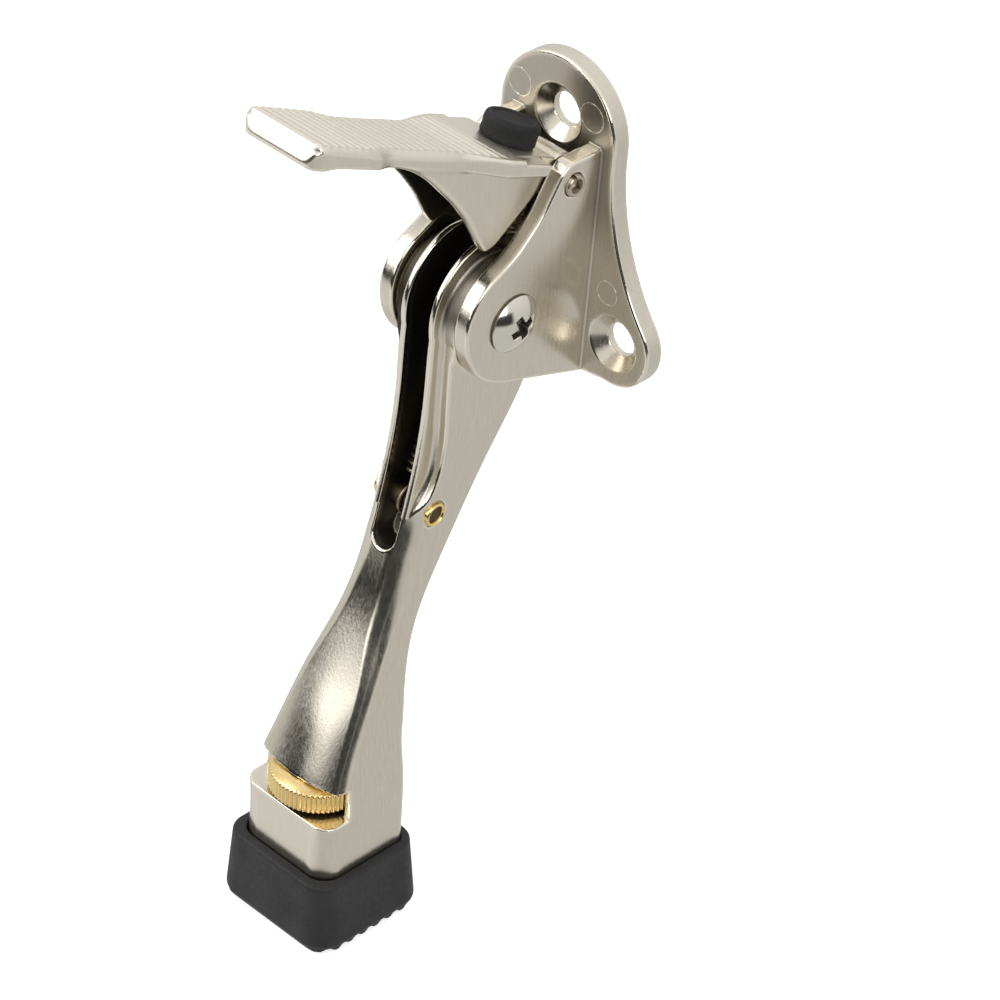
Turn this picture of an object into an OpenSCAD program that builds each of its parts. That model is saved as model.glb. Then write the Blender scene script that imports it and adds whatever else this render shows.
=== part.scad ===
// Floor door holder: a sprung arm with a height-adjustable rubber foot,
// pushed down with the shoe and let go by a pedal.
// Millimetres. +Y points into the door, the plate's back face is y = 0,
// +Z is up, and the origin is on that face midway between the two lower screw holes.
// Name endings: _r radius, _x half width, _h height of a feature,
// _y distance out from the door (so it lies at -y), _z height in the frame.

/* [Mounting bracket] */
// Plate thickness
plate_thickness = 3.3; // [2:0.1:5]
// Distance between the two lower screw holes
hole_pitch = 29.2; // [20:0.1:40]
// Height of the upper screw hole above the lower pair
hole_rise = 32.3; // [20:0.1:50]
// Radius of the screw holes
hole_r = 2.6; // [1.5:0.05:3.5]
// Countersink radius at the front face
countersink_r = 4.6; // [3:0.1:7]
// Height of the straight land under each countersink
land = 1.35; // [0.4:0.1:2]
// Radius of the arch at the top of the plate
arch_r = 11.3; // [8:0.1:16]
// Height of the arch centre
arch_z = 30.3; // [20:0.1:45]
// Radius of the two lower lobes
lobe_r = 6.95; // [5:0.05:8]
// Radius of the hollow curve down each side of the plate
waist_r = 39.2; // [30:0.1:50]
// Height at which the plate is narrowest
waist_z = 29; // [20:0.5:30]
// Narrowest half width of the plate
waist_x = 11.3; // [10:0.05:13]
// Outer half width over the two ears
ear_x = 9; // [7:0.1:12]
// Ear thickness
ear_thickness = 2.75; // [1.5:0.05:4]
// Radius of the round end of each ear
ear_r = 9.7; // [7:0.1:13]

/* [Pivots] */
// Main pivot, distance out from the door
pivot_y = 19; // [14:0.1:26]
// Main pivot height
pivot_z = 7.5; // [2:0.1:14]
// Radius of the pivot screw shoulder
shoulder_r = 2.9; // [2:0.1:4]
// Radius of the pivot screw head
screw_head_r = 4.8; // [3.5:0.1:6]
// Height of the domed pivot screw head
screw_head_h = 2.0; // [1:0.1:3]
// Pedal hinge, distance out from the door
hinge_y = 8.65; // [6:0.05:12]
// Pedal hinge height
hinge_z = 26.7; // [20:0.1:32]
// Radius of the tubular hinge pin
pin_r = 1.75; // [1.2:0.05:2.5]
// Radial clearance at every turning fit
clearance = 0.06; // [0.01:0.01:0.1]

/* [Arm] */
// Half width of the arm hub between the ears
hub_x = 6; // [4:0.05:8]
// Radius of the hub shoulders
hub_r = 8.9; // [8:0.1:10]
// Radius of the raised rims beside the slot
rim_r = 11.4; // [10:0.1:12.2]
// Half width over the two rims
rim_x = 3.35; // [3:0.05:4.5]
// Half width of the slot for the spring
slot_x = 2.3; // [1.8:0.05:3]
// Height of the rounded lower end of the slot
slot_end = -30.6; // [-34:0.1:-29]
// Half width of the foot block
block_x = 9.35; // [8.5:0.05:10.5]
// Front face of the foot block, distance out from the door
block_front = 51.1; // [49:0.1:53]
// Back face of the foot block, distance out from the door
block_back = 33.8; // [32:0.1:35]
// Underside of the foot block
block_bottom = -85; // [-90:0.1:-80]
// Radius of the front corners of the foot block
block_corner = 3.2; // [1:0.1:4]
// Top of the thumbwheel window
window_top = -65.7; // [-68:0.1:-60]
// Sill of the thumbwheel window
window_sill = -71; // [-75:0.1:-69]
// How far back the window wraps round the corners
window_back = 46; // [44:0.1:48]

/* [Spring] */
// Spring anchor, distance out from the door
anchor_y = 28.4; // [25:0.1:32]
// Spring anchor height
anchor_z = -24.2; // [-30:0.1:-18]
// Radius of the anchor rivet
rivet_r = 1.9; // [1.2:0.05:2.5]
// Bore radius of the anchor rivet
rivet_bore = 1.3; // [0.5:0.05:1.5]
// Spring wire radius
wire_r = 0.33; // [0.2:0.01:0.5]
// Mean radius of the coil
coil_r = 1.72; // [1.2:0.02:1.9]
// Number of turns
turns = 40; // [20:1:60]

/* [Pedal] */
// Half width of the pedal's rear pad, over the ears
pedal_x = 8.5; // [6:0.1:12]
// Half width of the ribbed tread and toe
tread_x = 7.35; // [6:0.05:9]
// Half width over the cheeks where they run between the ears
cheek_x = 6; // [4:0.05:7]
// Half width of the hollow between the cheeks
hollow_x = 4.6; // [3:0.05:4.8]
// Number of grip ribs on the pedal
grip_count = 24; // [6:1:26]
// Height of a grip rib
grip_h = 0.35; // [0.1:0.05:1]
// Radius of the rubber bumper
bumper_r = 4.25; // [2.5:0.05:6]
// Height of the rubber bumper
bumper_h = 3.6; // [2:0.1:6]

/* [Foot] */
// Axis of the thumbwheel and stud, distance out from the door
stud_y = 44.2; // [42:0.1:47]
// Radius of the threaded stud
stud_r = 2; // [1.5:0.1:3]
// Radius of the thumbwheel
wheel_r = 7.5; // [5:0.1:8]
// Height of the fluted rim
wheel_h = 3.4; // [2:0.1:4]
// Number of flutes
flutes = 56; // [24:1:80]
// Top of the rubber foot
boot_top = -80.9; // [-84:0.1:-76]
// Wall of the rubber foot at its lip
boot_wall = 1.5; // [0.8:0.1:2]
// Extra spread of the foot at its sole
boot_flare = 1.0; // [0:0.1:1.5]
// Underside of the sole ribs
sole_z = -93.6; // [-96:0.1:-93]
// Number of ribs across the sole
sole_ribs = 7; // [3:1:12]

/* [Hidden] */
$fn = 64;
through = 40; // length of a cutter that passes right through

nickel = [0.75, 0.72, 0.66];
bright = [0.84, 0.83, 0.80];
brass = [0.80, 0.66, 0.38];
steel = [0.62, 0.63, 0.65];
rubber = [0.12, 0.12, 0.13];

// a side outline [y, z] extruded to a width centred on x = 0
module across(width) {
  rotate([90, 0, 90]) linear_extrude(height = width, center = true) children();
}

// a front outline [x, z] extruded from y = start away from the door
module outward(start, depth) {
  translate([0, start, 0]) rotate([90, 0, 0]) linear_extrude(height = depth) children();
}

// a pin along X through a point [y, z] of the side view
module x_pin(y, z, radius, width) {
  translate([0, y, z]) rotate([0, 90, 0]) cylinder(r = radius, h = width, center = true);
}

// a closed outline from its left half, mirrored in x = 0
function mirrored(half) =
  concat(half, [for (i = [len(half) - 1 : -1 : 0]) [-half[i][0], half[i][1]]]);

// ---- mounting bracket ----
ear_root = -plate_thickness + 0.5; // y at which the ears are sunk into the plate
screw_holes = [[0, hole_rise], [-hole_pitch / 2, 0], [hole_pitch / 2, 0]]; // [x, z]
ejector_marks = [[-7.75, 34], [6.46, 34.5], [12.6, 7.84]]; // [x, z]
mark_depth = 0.12;
mark_outer_r = 2.2;
mark_inner_r = 1.95;

module plate_outline() {
  translate([0, arch_z]) circle(r = arch_r, $fn = 96);
  translate([-waist_x + 0.1, waist_z]) square([2 * waist_x - 0.2, arch_z - waist_z]);
  // hollow sides
  difference() {
    polygon(mirrored([[-20, waist_z], [-20, 4.37]]));
    for (side = [-1, 1])
      translate([side * (waist_x + waist_r), waist_z]) circle(r = waist_r, $fn = 128);
  }
  // foot of the plate, between the lobes
  polygon(mirrored([[-20, 4.4], [-hole_pitch / 2, -lobe_r], [-9, -7.6]]));
  for (side = [-1, 1]) translate([side * hole_pitch / 2, 0]) circle(r = lobe_r);
}

module countersunk_hole(x, z) {
  translate([x, 0.1, z]) rotate([90, 0, 0]) cylinder(r = hole_r, h = plate_thickness + 1);
  translate([x, -land, z]) rotate([90, 0, 0])
    cylinder(r1 = hole_r, r2 = countersink_r, h = plate_thickness - land + 0.001);
}

module ejector_mark(x, z) {
  translate([x, -plate_thickness + mark_depth, z]) rotate([90, 0, 0]) difference() {
    cylinder(r = mark_outer_r, h = 1);
    translate([0, 0, -0.5]) cylinder(r = mark_inner_r, h = 2);
  }
}

// ear seen from the side [y, z]: round end about the pivot, straight top over the hinge
module ear_outline() {
  translate([-pivot_y + 0.3, pivot_z - 0.3]) circle(r = ear_r, $fn = 96);
  polygon([[ear_root, -7.7], [-15.7, -3.85], [-21.8, -2], [-pivot_y, pivot_z],
    [-25.9, 13.7], [ear_root, 30.4]]);
  // upper part, with its front edge hollowed
  difference() {
    polygon([[ear_root, 30.4], [-9.4, 30.4], [-10.7, 29.7], [-11.5, 28.6], [-15.5, 22.6],
      [-18, 19.8], [-25, 15.2], [-22, 8], [ear_root, 5]]);
    translate([-27.6, 27.4]) circle(r = 11.6, $fn = 96);
  }
}

module mounting_bracket() {
  color(nickel) difference() {
    union() {
      outward(0, plate_thickness) plate_outline();
      for (side = [-1, 1]) {
        translate([side * (ear_x - ear_thickness / 2), 0, 0])
          across(ear_thickness) ear_outline();
        // raised ring round the hinge pin end
        translate([side * (ear_x + 0.1), 0, 0]) x_pin(-hinge_y, hinge_z, pin_r + 0.75, 0.3);
      }
    }
    for (hole = screw_holes) countersunk_hole(hole[0], hole[1]);
    x_pin(-pivot_y, pivot_z, shoulder_r, through);
    x_pin(-hinge_y, hinge_z, pin_r, through);
    for (mark = ejector_marks) ejector_mark(mark[0], mark[1]);
  }
}

// ---- pedal ----
// top of the pedal [y, z], from its rear edge up to the toe
pedal_top = [[-12.2, 31.6], [-20.1, 34.75], [-30.2, 38.75], [-36.8, 41.4], [-40, 42.8],
  [-44.2, 44.7], [-46.9, 46], [-53.3, 48.95], [-57.5, 50.75], [-58.7, 51.1]];
// round the toe and back along the underside [y, z]
pedal_under = [[-59.4, 50.7], [-59.5, 49], [-59, 47.7], [-58.3, 47.4], [-46.8, 43],
  [-41.7, 40.85], [-28, 35], [-21, 32.1], [-13.6, 29.9]];
toe_y = 59.6;
toe_corner = 3.4;
grip_start_y = 22.9; // rearmost grip rib
grip_span = 34.5;    // from the first rib to the last
grip_inset = 0.7;    // from the rib end to the pedal edge
bumper_y = 13.9;
bumper_z = 31.87;
bumper_tilt = -21.4;
stem_r = 1.6;

// height of the pedal top at a distance out from the door
function pedal_height(out) = lookup(out, [for (point = pedal_top) [-point[0], point[1]]]);

module pedal_grip() {
  for (i = [0 : grip_count - 1])
    let (
      out = grip_start_y + grip_span * i / (grip_count - 1),
      half_width = (out > 45 ? tread_x : cheek_x) - grip_inset
    )
      translate([0, -out, pedal_height(out)]) rotate([0, 90, 0])
        cylinder(r = grip_h, h = 2 * half_width, center = true, $fn = 16);
}

// plan [x, y]: rounded toe, waist over the cheeks, wide rear pad
module pedal_plan() {
  translate([-tread_x, -56]) square([2 * tread_x, 9.4]);
  polygon(mirrored([[-tread_x, -46.7], [-cheek_x - 0.3, -43.6], [-cheek_x - 0.35, -30.5],
    [-pedal_x, -21.8], [-pedal_x, -6]]));
  translate([-tread_x + toe_corner, -toe_y]) square([2 * (tread_x - toe_corner), 10]);
  for (side = [-1, 1])
    translate([side * (tread_x - toe_corner), -toe_y + toe_corner]) circle(r = toe_corner);
}

module pedal_slab() {
  intersection() {
    across(2 * pedal_x) polygon(concat(pedal_top, pedal_under));
    translate([0, 0, 20]) linear_extrude(height = 40) pedal_plan();
  }
}

module pedal_cheeks() {
  intersection() {
    across(2 * pedal_x) union() {
      polygon([[-12.6, 31.2], [-20.3, 34], [-30.2, 38.2], [-49, 46], [-47.8, 43.6],
        [-45, 42.8], [-41.6, 41], [-35.6, 36.4], [-30.1, 30.2], [-27, 26.2], [-24.7, 22.2],
        [-23.4, 20.5], [-21.2, 20.2], [-17.4, 22.4], [-13.4, 25]]);
      // hinge eye and the web that joins it to the cheek
      translate([-hinge_y, hinge_z]) circle(r = 3.6);
      polygon([[-hinge_y - 2.2, hinge_z - 2.8], [-hinge_y - 1.2, hinge_z + 3.38],
        [-12.2, 31.5], [-20.3, 34], [-20, 24]]);
    }
    // cheeks spread a little towards the toe
    translate([0, 0, 10]) linear_extrude(height = 50)
      polygon(mirrored([[-cheek_x, 0], [-cheek_x, -26], [-cheek_x - 0.3, -38],
        [-tread_x + 0.3, -47], [-tread_x + 0.3, -60]]));
  }
}

module release_pedal() {
  color(nickel) difference() {
    union() {
      pedal_slab();
      pedal_cheeks();
      pedal_grip();
    }
    // hollow underside, open at the bottom and back
    across(2 * hollow_x) polygon([[-3, 20], [-3, 29], [-9, 29.35], [-14, 30.2], [-28, 35.2],
      [-40.6, 40.4], [-42.6, 40.8], [-46, 42.6], [-46, 10], [-3, 10]]);
    // step down behind the tread, where the bumper stands
    across(30) polygon([[-18.4, 34.6], [-18.2, 33.5], [-10, 30.2], [-10, 36], [-18.4, 36]]);
    x_pin(-hinge_y, hinge_z, pin_r + clearance, through);
    // socket for the bumper stem
    at_bumper() translate([0, 0, -3.4]) cylinder(r = stem_r, h = 4);
  }
}

// the bumper stands square to the rear slope of the pedal
module at_bumper() {
  translate([0, -bumper_y, bumper_z]) rotate([bumper_tilt, 0, 0]) children();
}

module pedal_bumper() {
  color(rubber) at_bumper() {
    difference() {
      union() {
        translate([0, 0, 0.02]) cylinder(r = bumper_r - 0.15, h = bumper_h - 0.42);
        translate([0, 0, 0.3]) cylinder(r = bumper_r, h = bumper_h - 1);
        translate([0, 0, bumper_h - 0.7])
          cylinder(r1 = bumper_r, r2 = bumper_r - 0.5, h = 0.4);
      }
      // shallow round recess in the top
      translate([0, 0, bumper_h - 0.55]) cylinder(r = bumper_r - 1.1, h = 1);
    }
    translate([0, 0, -2]) cylinder(r = stem_r, h = 2.5);
  }
}

module pedal_hinge_pin() {
  pin_wall = 0.6;
  pin_length = 2 * ear_x + 1;
  cut_length = pin_length + 3;
  color(steel) difference() {
    x_pin(-hinge_y, hinge_z, pin_r, pin_length);
    x_pin(-hinge_y, hinge_z, pin_r - pin_wall, cut_length);
    // slit of the rolled pin
    translate([0, -hinge_y - 1.5, hinge_z + 0.9]) cube([cut_length, 1.6, 0.35], center = true);
  }
}

// ---- arm ----
back_corner = 1.6;                 // radius of the back corners of the foot block
slot_round_z = slot_end + slot_x;  // centre of the slot's round lower end
slot_round_y = 29.8;               // where that round end starts
passage_top = -62;                 // upper end of the stud passage
nose_r = shoulder_r - 0.5;         // pivot screw nose, turning in the arm

// left half of the arm from the front [x, z]
arm_half = [[-hub_x, 22], [-hub_x, -1], [-5.5, -1.8], [-5.4, -24], [-5.3, -30],
  [-5.25, -36], [-5.6, -43], [-6.8, -51], [-7.55, -57], [-8.3, -63], [-8.85, -66.5],
  [-block_x, -71], [-block_x, block_bottom]];

// bevel down each front edge of the arm [z, front face y, half width, size of cut]
bevel_stations = [[-21, 31.9, 5.4, 2.1], [-39, 36.7, 5.4, 2], [-54, 44.1, 7.15, 1.1],
  [-65.5, 49.5, 8.7, 0.8]];

module arm_side() {
  translate([-pivot_y, pivot_z]) circle(r = hub_r, $fn = 96);
  // down the back, round the foot block and up the front
  polygon([[-10, 4.6], [-9.4, -1.5], [-11.2, -8], [-20.2, -22.8], [-22.8, -27.5],
    [-25.3, -32], [-29.4, -40], [-32.7, -49], [-block_back, -57],
    [-block_back, block_bottom], [-block_front, block_bottom], [-block_front, -69.5],
    [-50.2, -67.2], [-48.3, -62.5], [-45.8, -57.2], [-42.45, -51], [-36.85, -39.3],
    [-33.7, -28.6], [-31.5, -18.7], [-30, -8], [-29.6, 4], [-24, 12]]);
}

module arm_rims() {
  intersection() {
    translate([-pivot_y, pivot_z]) circle(r = rim_r, $fn = 96);
    polygon([[-pivot_y, 0], [-pivot_y - 20, -6], [-pivot_y - 20, 25], [-pivot_y + 1, 25]]);
  }
}

// thin slice of the cutter at one bevel station
module bevel_slice(side, station) {
  front = station[1];
  half_width = station[2];
  cut = station[3];
  translate([0, 0, station[0]]) linear_extrude(height = 0.02)
    polygon([[side * (half_width - cut), -front - 5], [side * (half_width - cut), -front],
      [side * half_width, -front + cut], [side * (half_width + 5), -front + cut],
      [side * (half_width + 5), -front - 5]]);
}

module arm_bevel(side) {
  for (i = [0 : len(bevel_stations) - 2]) hull() {
    bevel_slice(side, bevel_stations[i]);
    bevel_slice(side, bevel_stations[i + 1]);
  }
}

// the four corner rounds of the foot block, grown and spread for the foot around it
module block_corners(grow = 0, flare = 0) {
  for (side = [-1, 1]) {
    translate([side * (block_x - block_corner + flare),
        -block_front + block_corner - flare * 0.8])
      circle(r = block_corner + grow);
    translate([side * (block_x - back_corner + flare),
        -block_back - back_corner + flare * 1.7])
      circle(r = back_corner + grow);
  }
}

module block_plan() {
  depth = block_front - block_back;
  block_corners();
  translate([-block_x + block_corner, -block_front])
    square([2 * (block_x - block_corner), depth - 1]);
  translate([-block_x + back_corner, -block_back - 3])
    square([2 * (block_x - back_corner), 3]);
  translate([-block_x, -block_front + block_corner])
    square([2 * block_x, depth - block_corner - back_corner]);
}

module slot_side() {
  polygon([[-60, 30], [-60, slot_round_z], [-slot_round_y, slot_round_z], [-27.4, -27.2],
    [-24.9, -24.7], [-12.4, 7.5], [-6, 24], [-6, 30]]);
}

// relief beside the slot rims, round at its lower end
module relief_side() {
  polygon([[-27.4, 14], [-27.4, 6], [-27.75, 1], [-27.8, -14], [-28.15, -17],
    [-29.1, -19.6], [-31.3, -22], [-36, -24.5], [-36, 14]]);
}

module holder_arm() {
  color(nickel) difference() {
    union() {
      intersection() {
        across(2 * block_x) arm_side();
        outward(10, 80) polygon(mirrored(arm_half));
        // full section above, rounded corners on the foot block below
        union() {
          translate([-15, -60, -67]) cube([30, 60, 100]);
          translate([0, 0, -95]) linear_extrude(height = 28.01) block_plan();
        }
      }
      across(2 * rim_x) arm_rims();
    }
    // slot for the spring, with a round lower end
    across(2 * slot_x) slot_side();
    translate([0, -slot_round_y, slot_round_z]) rotate([90, 0, 0])
      cylinder(r = slot_x, h = 30);
    for (side = [-1, 1]) {
      translate([side * (rim_x + 3), 0, 0]) across(6) relief_side();
      arm_bevel(side);
    }
    // thumbwheel window and pocket
    translate([-20, -70, window_sill]) cube([40, 70 - window_back, window_top - window_sill]);
    translate([0, -stud_y, window_sill])
      cylinder(r = wheel_r + 0.3, h = window_top - window_sill);
    // passage for the stud above and below the wheel
    translate([0, -stud_y, block_bottom - 1])
      cylinder(r = stud_r + 0.25, h = passage_top - block_bottom + 1);
    x_pin(-anchor_y, anchor_z, rivet_r, through);
    x_pin(-pivot_y, pivot_z, nose_r + clearance, through);
  }
}

// ---- pivot screws: head on the ear, shoulder fixed in the ear, nose turning in the arm ----
module pivot_screw(side) {
  dome_r = (screw_head_r * screw_head_r + screw_head_h * screw_head_h) / (2 * screw_head_h);
  nose_length = 3.6;
  overlap = 0.1;
  translate([side * ear_x, -pivot_y, pivot_z]) rotate([0, side * 90, 0]) difference() {
    union() {
      intersection() {
        translate([0, 0, screw_head_h - dome_r]) sphere(r = dome_r, $fn = 96);
        cylinder(r = screw_head_r, h = screw_head_h + 1);
      }
      translate([0, 0, -ear_thickness - overlap])
        cylinder(r = shoulder_r, h = ear_thickness + 0.3);
      translate([0, 0, -ear_thickness - nose_length])
        cylinder(r = nose_r, h = nose_length + overlap);
    }
    // cross recess
    for (angle = [25, 115]) rotate([0, 0, angle])
      translate([0, 0, screw_head_h]) cube([3.9, 0.95, 2.6], center = true);
    translate([0, 0, screw_head_h - 1.7]) cylinder(r1 = 0.6, r2 = 1.15, h = 2);
  }
}

module pivot_screw_left() {
  color(bright) pivot_screw(-1);
}

module pivot_screw_right() {
  color(bright) pivot_screw(1);
}

module spring_anchor_rivet() {
  color(brass) difference() {
    x_pin(-anchor_y, anchor_z, rivet_r, 2 * hub_x - 0.5);
    x_pin(-anchor_y, anchor_z, rivet_bore, 30);
  }
}

// ---- spring: a stretched coil between the anchor rivet and the hinge pin ----
// worked out along its own axis, z = 0 at the anchor and z = span at the hinge
anchor = [-anchor_y, anchor_z];
hinge = [-hinge_y, hinge_z];
span = norm(hinge - anchor);
lean = atan2(hinge[0] - anchor[0], hinge[1] - anchor[1]);
anchor_eye_r = rivet_r + wire_r + 0.04;
hinge_eye_r = pin_r + wire_r + 0.04;
shank = 1.2;         // straight wire between an eye and the coil
shank_overlap = 0.1; // how far the shank runs on into the eye
coil_start = anchor_eye_r + shank;
coil_end = span - hinge_eye_r - shank;
turn_steps = 12;
wire_sides = 5;
coil_steps = turns * turn_steps;

// corner of the wire's section at a step along the coil
function wire_point(step, corner) =
  let (
    around = 360 * step / turn_steps,
    section = 360 * corner / wire_sides,
    radius = coil_r + wire_r * cos(section),
    height = coil_start + (coil_end - coil_start) * step / coil_steps
  )
  [radius * cos(around), radius * sin(around), height + wire_r * sin(section)];

// index of a wire_point in the coil's point list
function at(step, corner) = step * wire_sides + corner % wire_sides;

module coil() {
  polyhedron(
    points = [for (i = [0 : coil_steps], j = [0 : wire_sides - 1]) wire_point(i, j)],
    faces = concat(
      [for (i = [0 : coil_steps - 1], j = [0 : wire_sides - 1])
        [at(i, j), at(i + 1, j + 1), at(i + 1, j)]],
      [for (i = [0 : coil_steps - 1], j = [0 : wire_sides - 1])
        [at(i, j), at(i, j + 1), at(i + 1, j + 1)]],
      [[for (j = [0 : wire_sides - 1]) wire_sides - 1 - j]],
      [[for (j = [0 : wire_sides - 1]) at(coil_steps, j)]]),
    convexity = 10);
}

module end_wire(length) {
  cylinder(r = wire_r * 0.98, h = length, $fn = 16);
}

// open eye round a cross pin
module eye(z, radius, start_angle) {
  translate([0, 0, z]) rotate([0, 90, 0]) rotate([0, 0, start_angle])
    rotate_extrude(angle = 300, $fn = 48) translate([radius, 0]) circle(r = wire_r, $fn = 16);
}

module tension_spring() {
  color(steel) translate([0, anchor[0], anchor[1]]) rotate([-lean, 0, 0]) {
    coil();
    // each end of the coil is bent in to the axis
    for (z = [coil_start, coil_end])
      translate([coil_r, 0, z]) rotate([0, -90, 0]) end_wire(coil_r);
    // shanks along the axis
    for (z = [coil_start - shank - shank_overlap, coil_end])
      translate([0, 0, z]) end_wire(shank + shank_overlap);
    eye(0, anchor_eye_r, 250);
    eye(span, hinge_eye_r, 70);
  }
}

// ---- foot ----
wheel_z = -70.2;      // underside of the thumbwheel
stud_top = -67.6;     // where the stud's end taper starts
foot_plate_z = -91.6; // underside of the foot plate
foot_plate_h = 1.4;
plate_grow = 0.05;    // foot plate over the block outline
rib_axis_z = -92.95;  // axis of the sole ribs

// layers of the rubber foot, from the sole up [z, growth over the block, flare]
boot_layers = [[-92.85, boot_wall - 1, boot_flare], [-91.9, boot_wall, boot_flare],
  [boot_top - 0.9, boot_wall, 0], [boot_top - 0.1, boot_wall - 0.6, 0]];

module thumbwheel() {
  color(brass) translate([0, -stud_y, wheel_z]) difference() {
    union() {
      cylinder(r = wheel_r - 0.35, h = wheel_h);
      translate([0, 0, wheel_h - 0.01])
        cylinder(r1 = wheel_r - 0.25, r2 = wheel_r - 2.2, h = 0.85);
      linear_extrude(height = wheel_h) for (i = [0 : flutes - 1]) rotate(i * 360 / flutes)
        polygon([[wheel_r - 0.6, -0.3], [wheel_r - 0.3, -0.3], [wheel_r, -0.1],
          [wheel_r, 0.1], [wheel_r - 0.3, 0.3], [wheel_r - 0.6, 0.3]]);
    }
    // dished top
    translate([0, 0, wheel_h + 0.35]) cylinder(r1 = 2.6, r2 = wheel_r - 2.4, h = 1.2);
    translate([0, 0, -1]) cylinder(r = stud_r + clearance, h = wheel_h + 4);
  }
}

module foot_stud() {
  color(steel) {
    translate([0, -stud_y, foot_plate_z])
      cylinder(r = stud_r, h = stud_top - foot_plate_z + 0.01);
    translate([0, -stud_y, stud_top]) cylinder(r1 = stud_r, r2 = stud_r - 0.4, h = 0.4);
  }
}

module boot_plan(grow, flare) {
  block_corners(grow, flare, $fn = 32);
}

module boot_layer(layer) {
  translate([0, 0, layer[0]]) linear_extrude(height = 0.1) boot_plan(layer[1], layer[2]);
}

// solid with the outline of the block, grown a little
module block_slab(z, height, grow) {
  translate([0, 0, z]) linear_extrude(height = height) hull() boot_plan(grow, 0);
}

module foot_plate() {
  color(steel) difference() {
    block_slab(foot_plate_z, foot_plate_h, plate_grow);
    translate([0, -stud_y, -95]) cylinder(r = stud_r, h = 10);
  }
}

module rubber_foot() {
  rib_field = block_front - block_back + 2.6;
  color(rubber) difference() {
    union() {
      for (i = [0 : len(boot_layers) - 2]) hull() {
        boot_layer(boot_layers[i]);
        boot_layer(boot_layers[i + 1]);
      }
      // ribs across the sole
      for (i = [0 : sole_ribs - 1])
        translate([0, -block_front - 0.6 + rib_field * (i + 0.5) / sole_ribs, rib_axis_z])
          rotate([0, 90, 0])
            cylinder(r = rib_axis_z - sole_z, h = 2 * block_x, center = true, $fn = 20);
    }
    // cup round the block, and the recess that holds the foot plate
    block_slab(foot_plate_z + foot_plate_h, 20, 0.15);
    block_slab(foot_plate_z, 2, plate_grow);
  }
}

mounting_bracket();
release_pedal();
pedal_bumper();
pedal_hinge_pin();
holder_arm();
pivot_screw_left();
pivot_screw_right();
spring_anchor_rivet();
tension_spring();
thumbwheel();
foot_stud();
foot_plate();
rubber_foot();
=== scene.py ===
"""Floor door holder: nickel bracket, arm and pedal, with spring, brass thumbwheel and rubber foot.

X runs across the holder, -Y is its front and +Z is up. The back of the bracket plate is y = 0.
Shapes are worked out in millimetres and become metres in the meshes. Most castings are signed
distance fields: negative inside, zero on the surface.
"""
import math
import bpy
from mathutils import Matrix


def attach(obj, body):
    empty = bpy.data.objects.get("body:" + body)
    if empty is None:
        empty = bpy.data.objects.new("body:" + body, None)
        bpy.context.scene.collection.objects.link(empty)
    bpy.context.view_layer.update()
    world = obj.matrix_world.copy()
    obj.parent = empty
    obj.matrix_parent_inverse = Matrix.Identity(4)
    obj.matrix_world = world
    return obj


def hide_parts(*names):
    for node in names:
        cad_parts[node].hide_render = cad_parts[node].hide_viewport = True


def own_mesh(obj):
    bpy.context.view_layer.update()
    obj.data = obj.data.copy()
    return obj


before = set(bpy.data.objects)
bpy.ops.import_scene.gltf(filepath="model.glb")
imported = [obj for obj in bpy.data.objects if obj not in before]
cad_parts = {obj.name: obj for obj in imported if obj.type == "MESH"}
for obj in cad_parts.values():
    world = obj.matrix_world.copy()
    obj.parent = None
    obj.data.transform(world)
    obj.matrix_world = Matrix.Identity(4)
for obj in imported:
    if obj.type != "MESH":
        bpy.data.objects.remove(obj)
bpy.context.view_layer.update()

import bmesh
import bpy
import numpy as np
from mathutils import Matrix, Vector

MM = 0.001
CAST_CELL = 0.30        # grid cell of the bracket and arm
PEDAL_CELL = 0.24
SCREW_CELL = 0.11
BOOT_CELL = 0.28

# main sizes
PIVOT_Y, PIVOT_Z = -19.0, 7.5              # arm pivot
HINGE_Y, HINGE_Z = -8.65, 26.7             # pedal hinge
ANCHOR_Y, ANCHOR_Z = -28.4, -24.2          # spring anchor rivet
WHEEL_Y = -44.2                            # thumbwheel axis
FOOT_HALF_X, FOOT_FRONT, FOOT_BACK = 9.35, -51.15, -33.8   # foot block
SOLE_Z = -93.7
PLATE_THICK = 3.3                          # bracket plate
EAR_INNER, EAR_OUTER = 6.25, 9.0           # faces of the bracket ears, from the middle


# ------------------------------------------------------------------ outlines and curves
def fillet(corners):
    """A closed outline whose corners (a, b, radius) are rounded, as points."""
    out = []
    count = len(corners)
    for i in range(count):
        corner = np.array(corners[i][:2], float)
        radius = corners[i][2]
        before = np.array(corners[i - 1][:2], float)
        after = np.array(corners[(i + 1) % count][:2], float)
        if radius <= 0:
            out.append(corner)
            continue
        u, v = before - corner, after - corner
        len_u, len_v = np.linalg.norm(u), np.linalg.norm(v)
        u, v = u / len_u, v / len_v
        angle = math.acos(max(-1, min(1, float(u @ v))))
        if angle > math.pi - 0.01:
            out.append(corner)
            continue
        # the arc never takes more than half of a side
        trim = min(radius / math.tan(angle / 2), 0.495 * len_u, 0.495 * len_v)
        fitted = trim * math.tan(angle / 2)
        start, end = corner + u * trim, corner + v * trim
        middle = u + v
        centre = corner + middle / np.linalg.norm(middle) * (fitted / math.sin(angle / 2))
        a0, a1 = math.atan2(*(start - centre)[::-1]), math.atan2(*(end - centre)[::-1])
        sweep = (a1 - a0 + math.pi) % (2 * math.pi) - math.pi
        steps = max(2, int(abs(sweep) / math.radians(5.0)) + 1, int(abs(sweep) * fitted / 1.2) + 1)
        for j in range(steps + 1):
            a = a0 + sweep * j / steps
            out.append(centre + fitted * np.array([math.cos(a), math.sin(a)]))
    return np.array(out)


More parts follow.
